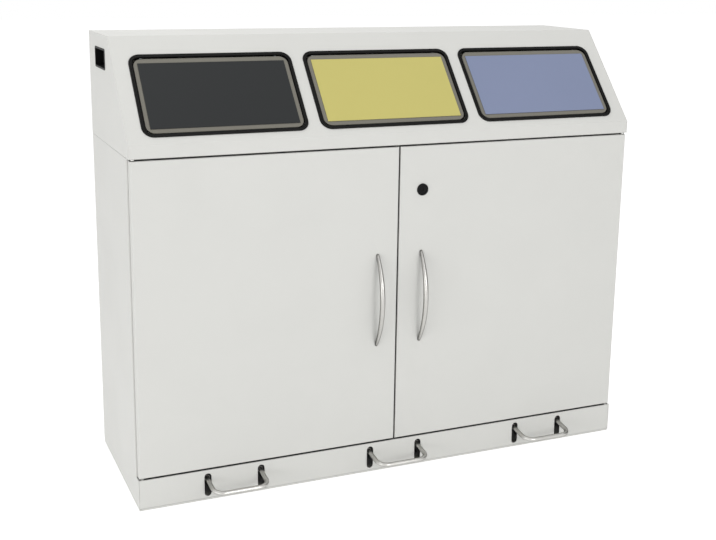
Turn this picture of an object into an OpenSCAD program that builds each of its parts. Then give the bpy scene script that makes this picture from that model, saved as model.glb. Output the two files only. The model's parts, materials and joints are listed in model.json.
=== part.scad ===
// Three-bay recycling cabinet: a sheet steel body on a pedal plinth, two doors,
// and a sloped hood with three lids that the pedals open through pull rods.
// X runs to the right, Y to the back, Z up; the origin is on the floor under the middle of the body.

/* [Body] */
// Width of the body across its sides
cabinet_w = 1220; // [1080:10:1400]
// Depth from the door faces to the back
cabinet_d = 400; // [360:5:460]
// Height from the floor to the top of the hood
cabinet_h = 1015; // [900:5:1120]
// Height of the hood above its seam
hood_h = 238; // [230:1:250]
// Thickness of the sheet steel
sheet = 1.5; // [1.2:0.1:1.8]
// Gap between the body and the hood
hood_seam = 0.6; // [0.4:0.1:0.9]
// Width of the folded return flanges
return_w = 20; // [16:1:24]
// Width of the side flanges behind the doors
front_flange_w = 25; // [22:1:30]
// Thickness of the base frame under the sheet
base_t = 4; // [3:0.5:6]
// Width of the bars of the base frame
base_w = 30; // [20:1:32]

/* [Hood] */
// Height of the upright fascia below the slope
fascia_h = 29; // [24:1:34]
// Depth of the flat top
flat_top_d = 215; // [205:1:225]
// Depth of the flange folded in under the fascia
fascia_return = 35; // [30:1:40]

/* [Lids] */
// Distance of the outer bays from the side faces
bay_margin = 20.5; // [16:0.5:30]
// Gap between the edge trims of neighbouring openings
trim_gap = 27; // [22:1:40]
// Distance of the edge trim from the foot of the slope
trim_foot = 17.3; // [15:0.1:22]
// Distance of the edge trim from the head of the slope
trim_head = 50.8; // [48:0.1:60]
// Outside corner radius of the edge trim
trim_r = 25; // [24:1:32]
// Visible width of the edge trim
trim_band = 8; // [7:0.5:10]
// How far the trim laps over the hood
trim_lap = 3; // [2:0.5:4]
// How far the trim stands out of the slope
trim_proud = 2.5; // [1.5:0.5:3]
// How far the trim reaches in under the slope
trim_under = 4; // [3:0.5:4.5]
// Gap round the lid at its sides and foot
lid_gap = 2; // [1.5:0.5:3]
// Gap above the lid, for the swing of its upper edge
lid_top_gap = 4; // [4:0.5:5]
// Thickness of the lid plate
lid_t = 1.5; // [1.2:0.1:1.8]
// Width of the bare metal border left and right of the coloured panel
lid_border = 9; // [7:0.5:12]
// Width of the bare metal border above and below the coloured panel
lid_ends = 11; // [9:0.5:13]
// How far the coloured panel sits below the middle of the lid
panel_drop = 0.5; // [0:0.5:3]
// Thickness of the coloured panel
panel_t = 1; // [0.8:0.1:1.5]
// Depth of the hinge axis below the lid face
hinge_depth = 8; // [7.5:0.5:8.5]
// Distance of the hinge axis from the upper edge of the lid
hinge_edge = 10; // [9:0.5:10.5]
// How far a lid opens, in degrees
lid_open = 60; // [45:5:60]
// Length of the lid crank
crank_r = 15; // [14:0.5:16]

/* [Doors] */
// Depth of a door pan
door_depth = 20; // [19:0.5:22]
// Gap round and between the doors
door_gap = 3.5; // [3:0.5:4.5]
// How far the doors stand back from the side faces
door_inset = 2.5; // [1.5:0.5:4]
// Gap between the doors and the body behind them
door_back_gap = 3; // [2.5:0.5:4]
// Width of the lip folded in at the back of a door
door_lip = 14; // [13:1:18]
// Distance of the hinge axis from the hinge edge and from the door face
pivot_inset = 7; // [7:0.5:8]
// Width of the door stiffener
stiffener_w = 60; // [40:5:80]

/* [Handles and lock] */
// Distance of the left handle from the middle
handle_x_left = 51; // [45:1:70]
// Distance of the right handle and the lock from the middle
handle_x_right = 58; // [52:1:70]
// How far the handles sit below the middle of the doors
handle_drop = 3; // [-40:1:40]
// Length of a bow handle
handle_len = 222; // [190:2:240]
// How far the bow stands out
handle_bow = 38; // [30:1:42]
// Thickness of the bow at its middle
handle_t = 8; // [6:0.5:10]
// Width of the bow
handle_w = 10; // [8:0.5:14]
// Length of the solid foot at each end of the bow
handle_foot = 17; // [14:1:20]
// Distance of the lock from the top of the door
lock_drop = 101; // [92:1:110]
// Diameter of the lock rosette
lock_d = 28; // [27:1:32]
// Length of the lock cam beyond its axis
cam_len = 27; // [24:1:30]

/* [Plinth and pedals] */
// Height of the top of the plinth
plinth_top = 71.5; // [70:0.5:74]
// Half the distance between the two legs of a pedal
leg_x = 62; // [55:1:68]
// Diameter of the pedal rod
pedal_d = 10; // [9:0.5:12]
// How far the pedal crossbar stands out, to its middle line
pedal_reach = 60; // [50:1:64]
// Radius of the pedal's front corners, to its middle line
pedal_bend_r = 24; // [18:1:28]
// How far the legs bend down in front, in degrees
pedal_dip = 9; // [0:0.5:10]
// Height of the legs and of their axle
leg_z = 50; // [48:0.5:52]
// Width of the slots in the plinth
slot_w = 16; // [15:0.5:18]
// Height of the slots in the plinth
slot_h = 54; // [52:1:56]
// Height of the middle of the slots
slot_z = 36.5; // [36:0.5:38]
// Distance of the pedal axle from the back
axle_back = 50; // [40:1:60]
// Diameter of the pedal axle
axle_d = 10; // [8:0.5:11]

/* [Pull rods] */
// Diameter of a pull rod
rod_d = 8; // [7:0.5:9]
// Width of a rod channel
channel_w = 20; // [18:0.5:22]
// Depth of a rod channel
channel_d = 24; // [20:0.5:26]
// Distance of the channel tops from the top of the hood
channel_drop = 115; // [100:5:150]

/* [Inner bins] */
// Free width between neighbouring bins
bin_gap = 33; // [31:1:45]
// Free depth in front of and behind the bins
bin_room_d = 54; // [52:1:70]
// How far the middle of the bins lies behind the middle of the body
bin_shift = 4.7; // [3:0.1:6]
// Free height above the bins
bin_headroom = 57; // [50:1:90]
// Wall thickness of an inner bin
bin_t = 1.2; // [1:0.1:2]
// Corner radius of an inner bin
bin_r = 12; // [8:1:20]

/* [Side grips] */
// Length of the grip opening
grip_l = 107; // [95:1:115]
// Height of the grip opening
grip_h = 42; // [36:1:46]
// Depth of the grip cup
grip_depth = 24; // [18:1:30]
// Distance of the middle of the grips from the top
grip_drop = 53; // [50:1:70]
// Distance of the middle of the grips from the back
grip_back = 130; // [115:1:140]

/* [Hidden] */
$fn = 48;
// Clearances: running and press fits, parts slid together, parts laid together, cutters past a face
run_fit = 0.05;
press_fit = 0.02;
loose_fit = 0.3;
lay_fit = 0.1;
over = 1;
// Pins, screws and bushes
pin_d = 6;
pin_collar_w = 2;
pin_tail = 6;
screw_d = 4;
screw_head_d = 8;
screw_head_h = 2.2;
screw_grip = 2.8;
bush_wall = 1.5;
bush_len = 10;
bush_flange_t = 1;
bush_flange_w = 1;
plate_t = 3;
// Bends of the folded sheets: radius of the middle line and facets of each bend
bend_r = 1.5 * sheet;
bend_steps = 6;
half_t = sheet / 2;
// Places that follow from the driving sizes
half_w = cabinet_w / 2;
inner_x = half_w - sheet;
fit_x = inner_x - loose_fit;
front_y = -cabinet_d / 2;
back_y = cabinet_d / 2;
inner_back = back_y - 2 * sheet - 2 * loose_fit;
carcass_y = front_y + door_depth + door_back_gap;
hood_bottom = cabinet_h - hood_h;
body_top = hood_bottom - hood_seam;
slope_z = hood_bottom + fascia_h;
slope_run = cabinet_d - flat_top_d;
slope_rise = hood_h - fascia_h;
slope_angle = atan2(slope_rise, slope_run);
slope_len = norm([slope_run, slope_rise]);
slope_top_y = front_y + slope_run;
door_bottom = plinth_top + door_gap;
door_top = hood_bottom - door_gap;
door_axis_x = half_w - door_inset - pivot_inset;
door_axis_y = front_y + pivot_inset;
door_back_y = front_y + door_depth;
handle_z = (door_bottom + door_top) / 2 - handle_drop;
lock_z = door_top - lock_drop;
bays = [-1, 0, 1];
bay_pitch = (cabinet_w - 2 * bay_margin) / len(bays);
// Edge trim, lid and hinge, along the slope (s) and out of it (n)
trim_w = bay_pitch - trim_gap;
trim_h = slope_len - trim_foot - trim_head;
opening_s = trim_foot + trim_h / 2;
clear_h = trim_h - 2 * trim_band;
lid_w = trim_w - 2 * trim_band - 2 * lid_gap;
lid_h = clear_h - lid_gap - lid_top_gap;
lid_round = 4;
lid_r = trim_r - trim_band - lid_gap + lid_round;
lid_s = opening_s + (lid_gap - lid_top_gap) / 2;
lid_lower_s = lid_s - lid_h / 2;
axis_s = lid_s + lid_h / 2 - hinge_edge;
axis_n = -hinge_depth;
axis_y = front_y + axis_s * cos(slope_angle) - axis_n * sin(slope_angle);
axis_z = slope_z + axis_s * sin(slope_angle) + axis_n * cos(slope_angle);
ear_inset = 22;
ear_gap = 1;
ear_r = 5.5;
ear_len = 24;
ear_foot = 3;
crank_end_r = 5;
crank_neck = 8;
bracket_x = lid_w / 2 - ear_inset;
ear_x = bracket_x + plate_t + ear_gap;
// Rail and bracket plates that carry the lid hinges, and the lid stops
rail_set = 2;
rail_drop = 68;
rail_leg = 28;
rail_y = slope_top_y + rail_set;
bracket_clear = 2.2;
bracket_back = norm([hinge_edge, hinge_depth]) + bracket_clear;
bracket_shelf = 3;
bracket_shoulder = 14;
bracket_rise = 44;
stop_w = 14;
stop_t = 3;
stop_foot = 4;
stop_lap = 2;
stop_pad = 7;
// Pull rods and the levers at their ends
rod_dx = -bay_pitch / 2;
rod_y = axis_y + crank_r * (1 + cos(lid_open / 2)) / 2;
crank_pin_z = axis_z + crank_r * sin(lid_open / 2);
eye_play = 0.4;
eye_run = 2.4;
eye_wall = 3.5;
link_d = 8;
rod_hole_gap = 3;
guide_h = 12;
guide_low = 5;
guide_high = 8;
channel_top = cabinet_h - channel_drop;
axle_y = back_y - axle_back;
pedal_eye_wall = 4;
knee_set = 8;
bow_tail = 6;
leg_d = 13;
pedal_eye_w = 18;
axle_bracket_wall = 6;
// Floor, plinth, rails, back and their screws
floor_rise = 8;
floor_z = plinth_top + floor_rise;
floor_set = 35;
floor_front_y = front_y + floor_set;
floor_lip = 20;
plinth_shelf = 47;
plinth_foot = 28;
base_set = 1;
rail_depth = 25;
top_rail_h = 38.6;
top_rail_y = carcass_y + sheet + loose_fit;
top_rail_top = body_top - sheet - loose_fit;
back_lap = 18;
hood_screw_rise = 9;
hood_screw_z = hood_bottom + hood_screw_rise;
hood_screw_inset = 110;
screw_margin = 50;
screw_count = 5;
// Doors
stiffener_wing = 15;
stiffener_end = 4;
magnet_x = 120;
magnet_w = 40;
magnet_air = 0.5;
magnet_edge = 1;
// Handle and lock
handle_end = 1;
handle_screw_z = handle_len / 2 - handle_foot / 2 - handle_end;
rosette_t = 3.5;
barrel_d = 19;
barrel_len = door_depth + 1.6;
plug_d = 14;
plug_set = 0.5;
nut_t = 5;
nut_d = 28;
tang_w = 7;
key_w = 1.8;
key_h = 8;
key_deep = 6;
cam_t = 2;
cam_w = 14;
cam_hub_d = 18;
cam_air = 0.7;
cam_y = top_rail_y + cam_air;
cam_screw_len = 6;
cam_screw_head_d = 12;
strike_w = 36;
strike_gap = 10;
strike_edge = 2;
// Inner bins
bin_w = bay_pitch - bin_gap;
bin_d = inner_back - carcass_y - bin_room_d;
bin_h = body_top - floor_z - bin_headroom;
bin_z = floor_z + lay_fit;
rim_w = 3;
rim_h = 6;
lift_w = 110;
lift_stand = 11;
lift_d = 6;
lift_drop = 70;
// Side grips
grip_z = cabinet_h - grip_drop;
grip_r = 4;
grip_wall = 2;
grip_lip = 2;
grip_flange_t = 1;
// Finishes
powder = [0.86, 0.86, 0.84];
zinc = [0.66, 0.68, 0.7];
satin = [0.78, 0.77, 0.74];
black = [0.1, 0.1, 0.1];
band_grey = [0.5, 0.49, 0.45];
panel_colours = [[0.21, 0.22, 0.23], [0.81, 0.77, 0.48], [0.54, 0.58, 0.69]];

// Box between two corners
module slab(x0, x1, y0, y1, z0, z1) {
    translate([x0, y0, z0]) cube([x1 - x0, y1 - y0, z1 - z0]);
}

// Outline in Y and Z drawn out along X
module along_x(x0, x1) {
    translate([x0, 0, 0]) rotate([90, 0, 90]) linear_extrude(x1 - x0) children();
}

// Round bars along X and along Y, from a start point
module bar_x(start, len, d) {
    translate(start) rotate([0, 90, 0]) cylinder(h = len, d = d);
}

module bar_y(start, len, d) {
    translate(start) rotate([-90, 0, 0]) cylinder(h = len, d = d);
}

// Outline of a folded sheet, from the corner points of its middle line
function unit(v) = v / norm(v);
function left_of(v) = [-v[1], v[0]];
function turned(v, a) = [v[0] * cos(a) - v[1] * sin(a), v[0] * sin(a) + v[1] * cos(a)];
function bend(b, u, w, off) =
    let (a = atan2(u[0] * w[1] - u[1] * w[0], u * w), s = sign(a),
        c = b - u * bend_r * tan(abs(a) / 2) + s * bend_r * left_of(u))
    [for (k = [0 : bend_steps]) c + (off - s * bend_r) * turned(left_of(u), a * k / bend_steps)];
function fold_side(p, off) = [
    p[0] + off * left_of(unit(p[1] - p[0])),
    for (i = [1 : len(p) - 2]) each bend(p[i], unit(p[i] - p[i - 1]), unit(p[i + 1] - p[i]), off),
    p[len(p) - 1] + off * left_of(unit(p[len(p) - 1] - p[len(p) - 2]))
];
function reversed(v) = [for (i = [len(v) - 1 : -1 : 0]) v[i]];

module folded(p) {
    polygon(concat(fold_side(p, sheet / 2), reversed(fold_side(p, -sheet / 2))));
}

// Rectangle with round corners, about its middle
module rounded_rect(w, h, r) {
    square([w - 2 * r, h], center = true);
    square([w, h - 2 * r], center = true);
    for (sx = [-1, 1], sy = [-1, 1])
        translate([sx * (w / 2 - r), sy * (h / 2 - r)]) circle(r);
}

// Same shape on the left (-1) or the right (1) side
module on_side(side) {
    if (side < 0) mirror([1, 0, 0]) children();
    else children();
}

// Frame of the slope: X along it, Y up the slope from its foot, Z out of it
module on_slope() {
    translate([0, front_y, slope_z]) rotate([slope_angle, 0, 0]) children();
}

// Body: side panels, back, floor, plinth and top rail
module side_panel(side) {
    skin = half_w - half_t;
    back = [[skin, back_y - half_t], [half_w - return_w, back_y - half_t]];
    color(powder) on_side(side) difference() {
        union() {
            translate([0, 0, plinth_top]) linear_extrude(body_top - plinth_top) folded(concat(
                [[half_w - front_flange_w, carcass_y + half_t], [skin, carcass_y + half_t]], back));
            translate([0, 0, base_t]) linear_extrude(plinth_top - base_t)
                folded(concat([[skin, front_y]], back));
            slab(half_w - return_w, skin, carcass_y + 2 * sheet, inner_back, body_top - sheet, body_top);
            slab(half_w - return_w, skin, floor_front_y, inner_back, base_t, base_t + sheet);
        }
        if (side < 0) rod_notch(body_top - 3 * sheet);
        for (z = screw_heights()) back_screw_hole(half_w - return_w / 2, z);
    }
}

// Notch in the flanges that the outer rod channel passes
module rod_notch(z) {
    slab(half_w - 2 * return_w, inner_x, rod_y - channel_w, rod_y + channel_w, z, z + 6 * sheet);
}

function screw_heights() =
    [for (i = [0 : screw_count - 1]) screw_margin + i * (body_top - 2 * screw_margin) / (screw_count - 1)];

module back_screw_hole(x, z) {
    bar_y([x, back_y - 5 * sheet, z], 6 * sheet, screw_d + 2 * press_fit);
}

function hood_screw_xs() = [for (i = [-2 : 2]) i * (half_w - hood_screw_inset) / 2];

module back_panel() {
    color(powder) difference() {
        slab(bend_r - inner_x, inner_x - bend_r, back_y - 2 * sheet - lay_fit,
            back_y - sheet - lay_fit, base_t, hood_bottom + back_lap);
        for (side = [-1, 1], z = screw_heights()) back_screw_hole(side * (half_w - return_w / 2), z);
        for (x = hood_screw_xs()) back_screw_hole(x, hood_screw_z);
    }
}

module floor_pan() {
    color(powder) difference() {
        along_x(-fit_x, fit_x) folded([
            [floor_front_y + half_t, plinth_top], [floor_front_y + half_t, floor_z - half_t],
            [inner_back - half_t, floor_z - half_t], [inner_back - half_t, floor_z - floor_lip]
        ]);
        for (bay = bays) translate([bay * bay_pitch + rod_dx, rod_y, floor_z - 2 * sheet])
            cylinder(h = 4 * sheet, d = rod_d + 2 * rod_hole_gap);
    }
}

module base_frame() {
    x = half_w - base_set;
    y = back_y - base_set;
    color(powder) difference() {
        slab(-x, x, -y, y, 0, base_t);
        slab(base_w - x, x - base_w, base_w - y, y - base_w, -over, base_t + over);
    }
}

module plinth_front() {
    color(powder) difference() {
        along_x(-fit_x, fit_x) folded([
            [front_y + plinth_shelf, plinth_top - half_t], [front_y + half_t, plinth_top - half_t],
            [front_y + half_t, base_t + half_t], [front_y + plinth_foot, base_t + half_t]
        ]);
        for (bay = bays, sx = [-1, 1])
            translate([bay * bay_pitch + sx * leg_x, front_y - over, slot_z]) rotate([-90, 0, 0])
                linear_extrude(sheet + 2 * over) rounded_rect(slot_w, slot_h, slot_w / 2 - press_fit);
        for (side = [-1, 1])
            translate([side * door_axis_x, door_axis_y, plinth_top - 2 * sheet])
                cylinder(h = 3 * sheet, d = pin_d + 2 * press_fit);
    }
}

module top_rail() {
    z0 = top_rail_top - top_rail_h + half_t;
    z1 = top_rail_top - half_t;
    color(powder) along_x(-fit_x, fit_x) folded([
        [top_rail_y + rail_depth, z0], [top_rail_y + half_t, z0],
        [top_rail_y + half_t, z1], [top_rail_y + rail_depth, z1]
    ]);
}

// Hood: middle line of one folded sheet from the fascia over the slope and the top to the back
function inset(p, n1, n2) = p + half_t * (n1 + n2) / (1 + n1 * n2);
normal_slope = [sin(slope_angle), -cos(slope_angle)];
hood_line = [
    [front_y + fascia_return, hood_bottom + half_t],
    [front_y + half_t, hood_bottom + half_t],
    inset([front_y, slope_z], [1, 0], normal_slope),
    inset([slope_top_y, cabinet_h], normal_slope, [0, -1]),
    [back_y - half_t, cabinet_h - half_t],
    [back_y - half_t, hood_bottom]
];

module hood_shell() {
    color(powder) difference() {
        along_x(-inner_x, inner_x) folded(hood_line);
        for (bay = bays) on_slope() translate([bay * bay_pitch, opening_s, -2 * sheet])
            linear_extrude(3 * sheet)
                rounded_rect(trim_w - 2 * trim_lap, trim_h - 2 * trim_lap, trim_r - trim_lap);
        for (side = [-1, 1])
            translate([side * door_axis_x, door_axis_y, hood_bottom - sheet])
                cylinder(h = 3 * sheet, d = pin_d + 2 * press_fit);
        for (x = hood_screw_xs()) back_screw_hole(x, hood_screw_z);
    }
}

module hood_cheek(side) {
    color(powder) on_side(side) difference() {
        union() {
            along_x(inner_x, half_w) polygon(fold_side([for (i = [1 : 5]) hood_line[i]], half_t));
            slab(half_w - return_w, half_w, front_y + fascia_return + loose_fit, inner_back,
                hood_bottom, hood_bottom + sheet);
        }
        if (side < 0) rod_notch(hood_bottom - sheet);
        grip_place() linear_extrude(4 * sheet, center = true) rounded_rect(grip_l, grip_h, grip_r);
    }
}

// Frame of a side grip: X along the opening, Y up, Z out of the cheek, at its outer face
module grip_place() {
    translate([half_w, back_y - grip_back, grip_z]) rotate([90, 0, 90]) children();
}

module grip_cup(side) {
    color(black) on_side(side) grip_place() difference() {
        union() {
            linear_extrude(grip_flange_t)
                rounded_rect(grip_l + 2 * grip_lip, grip_h + 2 * grip_lip, grip_r + grip_lip / 2);
            translate([0, 0, -grip_depth]) linear_extrude(grip_depth)
                rounded_rect(grip_l - 2 * lay_fit, grip_h - 2 * lay_fit, grip_r);
        }
        translate([0, 0, grip_wall - grip_depth]) linear_extrude(grip_depth)
            rounded_rect(grip_l - 2 * grip_wall, grip_h - 2 * grip_wall, grip_r - grip_wall / 2);
    }
}

// Lid hinges: rail under the top, bracket plates, pins and stops
module hinge_rail() {
    top = cabinet_h - sheet - lay_fit;
    color(powder) along_x(-fit_x, fit_x) folded([
        [rail_y + half_t, top - rail_drop], [rail_y + half_t, top - half_t],
        [rail_y + rail_leg, top - half_t]
    ]);
}

module lid_hinge_brackets() {
    color(zinc) for (bay = bays, side = [-1, 1]) translate([bay * bay_pitch, 0, 0])
        on_side(side) along_x(bracket_x, bracket_x + plate_t) difference() {
            union() {
                translate([axis_y, axis_z]) circle(ear_r);
                polygon([
                    [axis_y, axis_z - ear_r], [rail_y, axis_z - ear_r], [rail_y, axis_z + bracket_rise],
                    [axis_y + bracket_back, axis_z + bracket_shoulder],
                    [axis_y + bracket_back, axis_z + bracket_shelf], [axis_y, axis_z + bracket_shelf]
                ]);
            }
            translate([axis_y, axis_z]) circle(d = pin_d + 2 * press_fit);
        }
}

module lid_hinge_pins() {
    color(satin) for (bay = bays, side = [-1, 1]) translate([bay * bay_pitch, 0, 0]) on_side(side) {
        bar_x([bracket_x - over, axis_y, axis_z], 2 * plate_t + 3 * over, pin_d);
        bar_x([bracket_x - lay_fit - plate_t, axis_y, axis_z], plate_t, pin_d + pin_collar_w);
    }
}

module lid_stops() {
    top_n = -lid_t - loose_fit;
    low_n = -trim_under - stop_t;
    step_n = -trim_under - lay_fit;
    hood_n = -sheet - lay_fit;
    foot_s = trim_foot - stop_foot;
    pad_s = lid_lower_s + stop_lap;
    color(black) for (bay = bays, side = [-1, 1]) on_slope()
        translate([bay * bay_pitch + side * lid_w / 3, 0, 0]) along_x(-stop_w / 2, stop_w / 2)
            polygon([
                [foot_s, hood_n], [foot_s, low_n], [pad_s + stop_pad, low_n],
                [pad_s + stop_pad, top_n], [pad_s, top_n], [pad_s, step_n],
                [foot_s + stop_foot - lay_fit, step_n], [foot_s + stop_foot - lay_fit, hood_n]
            ]);
}

module opening_trim(bay) {
    cut_w = trim_w - 2 * trim_lap;
    cut_h = trim_h - 2 * trim_lap;
    color(black) on_slope() translate([bay * bay_pitch, opening_s, 0]) difference() {
        translate([0, 0, -trim_under]) linear_extrude(trim_under + trim_proud)
            rounded_rect(trim_w, trim_h, trim_r);
        translate([0, 0, -trim_under - over]) linear_extrude(trim_under + trim_proud + 2 * over)
            rounded_rect(trim_w - 2 * trim_band, clear_h, trim_r - trim_band);
        translate([0, 0, -sheet - lay_fit]) linear_extrude(sheet + 2 * lay_fit) difference() {
            square([trim_w + over, trim_h + over], center = true);
            rounded_rect(cut_w - 2 * lay_fit, cut_h - 2 * lay_fit, trim_r - trim_lap - lay_fit);
        }
    }
}

// Lids: plate with two hinge ears and a crank, and the coloured panel on it
module ear_shape(crank) {
    difference() {
        union() {
            translate([axis_s, axis_n]) circle(ear_r);
            translate([axis_s - ear_len, axis_n - ear_foot])
                square([ear_len + ear_r, hinge_depth + ear_foot - lid_t / 2]);
            if (crank) translate([axis_s, axis_n]) rotate(lid_open / 2 - slope_angle) {
                translate([0, -crank_neck / 2]) square([crank_r, crank_neck]);
                translate([crank_r, 0]) circle(crank_end_r);
            }
        }
        translate([axis_s, axis_n]) circle(d = pin_d + 2 * run_fit);
    }
}

module lid_plate(bay) {
    color(band_grey) on_slope() translate([bay * bay_pitch, 0, 0]) {
        translate([0, lid_s, -lid_t]) linear_extrude(lid_t) rounded_rect(lid_w, lid_h, lid_r);
        along_x(ear_x, ear_x + plate_t) ear_shape(false);
        along_x(-ear_x - plate_t, -ear_x) ear_shape(true);
        translate([0, axis_s, axis_n]) rotate([lid_open / 2 - slope_angle, 0, 0])
            bar_x([rod_dx - eye_wall - rod_d / 2, crank_r, 0],
                -rod_dx + eye_wall + rod_d / 2 - ear_x - plate_t / 2, pin_d);
    }
}

module lid_panel(bay) {
    color(panel_colours[bay + 1]) on_slope() translate([bay * bay_pitch, lid_s - panel_drop, 0])
        linear_extrude(panel_t) square([lid_w - 2 * lid_border, lid_h - 2 * lid_ends], center = true);
}

// Pull rods with a slotted eye at each end, their guides and channels
module rod_eye(y, z, d) {
    h = d + 2 * eye_play + 2 * eye_wall;
    w = h + eye_run;
    translate([0, y, z]) rotate([90, 0, 90]) difference() {
        linear_extrude(rod_d, center = true) square([w, h], center = true);
        linear_extrude(rod_d + over, center = true) {
            square([eye_run, d + 2 * eye_play], center = true);
            for (sx = [-1, 1]) translate([sx * eye_run / 2, 0]) circle(d = d + 2 * eye_play);
        }
    }
}

module pull_rod(bay) {
    low = leg_z + link_d / 2 + eye_play + eye_wall / 2;
    high = crank_pin_z - pin_d / 2 - eye_play - eye_wall / 2;
    color(zinc) translate([bay * bay_pitch + rod_dx, 0, 0]) {
        translate([0, rod_y, low]) cylinder(h = high - low, d = rod_d);
        rod_eye(rod_y, leg_z, link_d);
        rod_eye(rod_y, crank_pin_z, pin_d);
    }
}

module rod_channels() {
    x = channel_w / 2 - half_t;
    y = channel_d / 2;
    color(zinc) for (bay = bays) translate([bay * bay_pitch + rod_dx, rod_y, floor_z + lay_fit])
        linear_extrude(channel_top - floor_z - lay_fit)
            folded([[-x, -y], [-x, y - half_t], [x, y - half_t], [x, -y]]);
}

module rod_guides() {
    half = channel_w / 2 - sheet - lay_fit;
    back = channel_d / 2 - sheet - lay_fit;
    color(black) for (bay = bays, z = [floor_z + guide_low, channel_top - guide_h - guide_high])
        translate([bay * bay_pitch + rod_dx, rod_y, z]) linear_extrude(guide_h) difference() {
            translate([-half, -half]) square([2 * half, half + back]);
            circle(d = rod_d + 2 * run_fit);
            for (sx = [-1, 1]) translate([sx * half, back]) rotate(45) square(bend_r, center = true);
        }
}

// Pedals: a bent rod let into two leg tubes, their eyes on the axle and the link that pulls the rod
module pedal_bow() {
    bend_x = leg_x - pedal_bend_r;
    reach = pedal_reach + knee_set;
    for (sx = [-1, 1]) {
        bar_y([sx * leg_x, pedal_bend_r - reach, 0], reach - pedal_bend_r + bow_tail, pedal_d);
        translate([sx * bend_x, pedal_bend_r - reach, 0]) rotate([0, 0, sx > 0 ? 270 : 180])
            rotate_extrude(angle = 90) translate([pedal_bend_r, 0]) circle(d = pedal_d);
    }
    bar_x([-bend_x, -reach, 0], 2 * bend_x, pedal_d);
}

module pedal(bay) {
    eye_d = axle_d + 2 * pedal_eye_wall;
    knee_y = front_y + knee_set;
    color(satin) translate([bay * bay_pitch, 0, leg_z]) difference() {
        union() {
            translate([0, knee_y, 0]) rotate([pedal_dip, 0, 0]) pedal_bow();
            for (sx = [-1, 1]) {
                bar_y([sx * leg_x, knee_y, 0], axle_y - knee_y, leg_d);
                bar_x([sx * leg_x - pedal_eye_w / 2, axle_y, 0], pedal_eye_w, eye_d);
            }
            bar_x([rod_dx - rod_d / 2 - eye_wall, rod_y, 0],
                -rod_dx + rod_d / 2 + eye_wall - leg_x, link_d);
        }
        for (sx = [-1, 1])
            bar_x([sx * leg_x - pedal_eye_w / 2 - over, axle_y, 0],
                pedal_eye_w + 2 * over, axle_d + 2 * run_fit);
    }
}

module pedal_axle() {
    color(zinc) bar_x([-fit_x, axle_y, leg_z], 2 * fit_x, axle_d);
}

module axle_brackets() {
    wide = axle_d + 2 * axle_bracket_wall;
    xs = [for (bay = [-1 : 2]) (bay - 0.5) * bay_pitch];
    plate_h = floor_z - sheet - lay_fit - leg_z + wide / 2;
    color(zinc) for (x = xs) along_x(x - plate_t / 2, x + plate_t / 2) difference() {
        translate([axle_y - wide / 2, leg_z - wide / 2]) square([wide, plate_h]);
        translate([axle_y, leg_z]) circle(d = axle_d + 2 * press_fit);
    }
}

// Inner bins and their lift handles
module inner_bin(bay) {
    color(zinc) translate([bay * bay_pitch, bin_shift, bin_z]) difference() {
        union() {
            linear_extrude(bin_h) rounded_rect(bin_w, bin_d, bin_r);
            translate([0, 0, bin_h - rim_h]) linear_extrude(rim_h)
                rounded_rect(bin_w + 2 * rim_w, bin_d + 2 * rim_w, bin_r + rim_w);
        }
        translate([0, 0, bin_t]) linear_extrude(bin_h)
            rounded_rect(bin_w - 2 * bin_t, bin_d - 2 * bin_t, bin_r - bin_t);
    }
}

module bin_handles() {
    reach = bin_d / 2 + lift_stand;
    color(satin) for (bay = bays, side = [-1, 1])
        translate([bay * bay_pitch, bin_shift, bin_z + bin_h - lift_drop]) {
            bar_x([-lift_w / 2, side * reach, 0], lift_w, lift_d);
            for (sx = [-1, 1])
                bar_y([sx * (lift_w / 2 - lift_d / 2), side > 0 ? bin_d / 2 : -reach, 0],
                    lift_stand, lift_d);
        }
}

// Doors: folded pan, stiffener, bow handle and pivot bushes
module door_panel(side) {
    x0 = door_gap / 2;
    x1 = half_w - door_inset;
    y0 = front_y + half_t;
    y1 = door_back_y - half_t;
    deep = 2 * door_depth;
    handle_x = side > 0 ? handle_x_right : handle_x_left;
    color(powder) on_side(side) difference() {
        intersection() {
            union() {
                translate([0, 0, door_bottom]) linear_extrude(door_top - door_bottom) folded([
                    [x0 + door_lip, y1], [x0 + half_t, y1], [x0 + half_t, y0],
                    [x1 - half_t, y0], [x1 - half_t, y1], [x1 - door_lip, y1]
                ]);
                for (z = [door_bottom, door_top - sheet])
                    slab(x0 + half_t, x1 - half_t, y0, door_back_y - bend_r, z, z + sheet);
                for (z = [door_bottom, door_top - door_lip])
                    slab(x0 + 3 * sheet, x1 - 3 * sheet, door_back_y - sheet, door_back_y,
                        z, z + door_lip);
                for (z = [door_bottom, door_top - sheet])
                    slab(x0 + 3 * sheet, x1 - 3 * sheet, y0, door_back_y, z, z + sheet);
            }
            along_x(x0 - over, x1 + over)
                translate([front_y + deep / 2, (door_bottom + door_top) / 2])
                    rounded_rect(deep, door_top - door_bottom, bend_r + half_t);
        }
        translate([door_axis_x, door_axis_y, door_bottom - over])
            cylinder(h = door_top - door_bottom + 2 * over, d = pin_d + 2 * bush_wall + 2 * press_fit);
        for (sz = [-1, 1])
            bar_y([handle_x, front_y - over, handle_z + sz * handle_screw_z], sheet + 2 * over,
                screw_d + 2 * press_fit);
        if (side > 0) bar_y([handle_x, front_y - over, lock_z], sheet + 2 * over, barrel_d + 2 * lay_fit);
    }
}

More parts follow.
